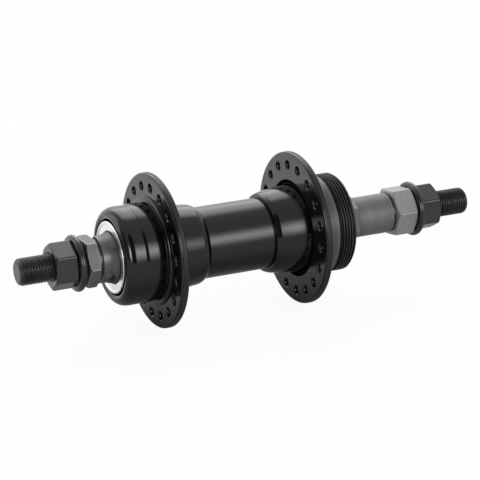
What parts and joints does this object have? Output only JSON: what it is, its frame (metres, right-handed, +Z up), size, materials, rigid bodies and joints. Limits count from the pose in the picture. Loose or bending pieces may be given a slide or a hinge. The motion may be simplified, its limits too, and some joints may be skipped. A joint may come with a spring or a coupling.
{
  "type": "rear freewheel hub",
  "caption": "Solid-axle bicycle rear hub with two drilled spoke flanges, a threaded freewheel collar and cup-and-cone bearings.",
  "frame": {"origin": "on the axle's axis, midway between the outer faces of the two locknuts and the two ends of the axle", "axes": "+Y along the axle towards the left (non-drive) side, -Y towards the freewheel thread, +X forward, +Z up"},
  "size_m": [0.054, 0.172, 0.054],
  "materials": {
    "black_alloy": "satin black anodised",
    "black_steel": "black oxide",
    "locknut_steel": "grey zinc plate",
    "cone_steel": "ground steel",
    "dark_washer": "black oxide",
    "zinc_shield": "bright zinc plate",
    "race_steel": "ground and hardened",
    "ball_steel": "polished",
    "cage_steel": "pressed sheet",
    "seal_rubber": "matt"
  },
  "bodies": {
    "axle_set": {"axle": "black_steel", "left_cone": "cone_steel", "right_cone": "cone_steel", "left_dust_seal": "seal_rubber", "right_dust_seal": "seal_rubber", "right_spacer": "cone_steel", "left_lock_washer": "dark_washer", "right_lock_washer": "dark_washer", "left_locknut": "locknut_steel", "right_locknut": "locknut_steel"},
    "hub_shell": {"shell_barrel": "black_alloy", "shell_left_flange": "black_alloy", "shell_right_flange": "black_alloy", "left_end_cap": "black_alloy", "left_bearing_cup": "race_steel", "right_bearing_cup": "race_steel", "left_dust_shield": "zinc_shield", "right_dust_shield": "zinc_shield"},
    "left_ball_set": {"left_bearing_balls": "ball_steel", "left_ball_retainer": "cage_steel"},
    "right_ball_set": {"right_bearing_balls": "ball_steel", "right_ball_retainer": "cage_steel"},
    "left_washer": {"left_nut_washer": "black_steel"},
    "right_washer": {"right_nut_washer": "black_steel"},
    "left_nut": {"left_axle_nut": "black_steel"},
    "right_nut": {"right_axle_nut": "black_steel"}
  },
  "joints": [
    {"name": "hub_spin", "type": "hinge", "parent": "axle_set", "child": "hub_shell", "pos_m": [0, 0, 0], "axis": [0, 1, 0], "continuous": true},
    {"name": "left_ball_spin", "type": "hinge", "parent": "axle_set", "child": "left_ball_set", "pos_m": [0, 0, 0], "axis": [0, 1, 0], "continuous": true},
    {"name": "right_ball_spin", "type": "hinge", "parent": "axle_set", "child": "right_ball_set", "pos_m": [0, 0, 0], "axis": [0, 1, 0], "continuous": true},
    {"name": "left_washer_slide", "type": "slide", "parent": "axle_set", "child": "left_washer", "axis": [0, 1, 0], "range_m": [0, 0.00782]},
    {"name": "right_washer_slide", "type": "slide", "parent": "axle_set", "child": "right_washer", "axis": [0, -1, 0], "range_m": [0, 0.00782]},
    {"name": "left_nut_turn", "type": "hinge", "parent": "left_washer", "child": "left_nut", "pos_m": [0, 0, 0], "axis": [0, 1, 0], "range_deg": [0, 2880]},
    {"name": "right_nut_turn", "type": "hinge", "parent": "right_washer", "child": "right_nut", "pos_m": [0, 0, 0], "axis": [0, -1, 0], "range_deg": [0, 2880]}
  ],
  "couplings": [
    {"joint": "left_ball_spin", "follows": "hub_spin", "ratio": 0.6134},
    {"joint": "right_ball_spin", "follows": "hub_spin", "ratio": 0.6134},
    {"joint": "left_washer_slide", "follows": "left_nut_turn", "m_per_rad": 0.00015548},
    {"joint": "right_washer_slide", "follows": "right_nut_turn", "m_per_rad": 0.00015548}
  ]
}
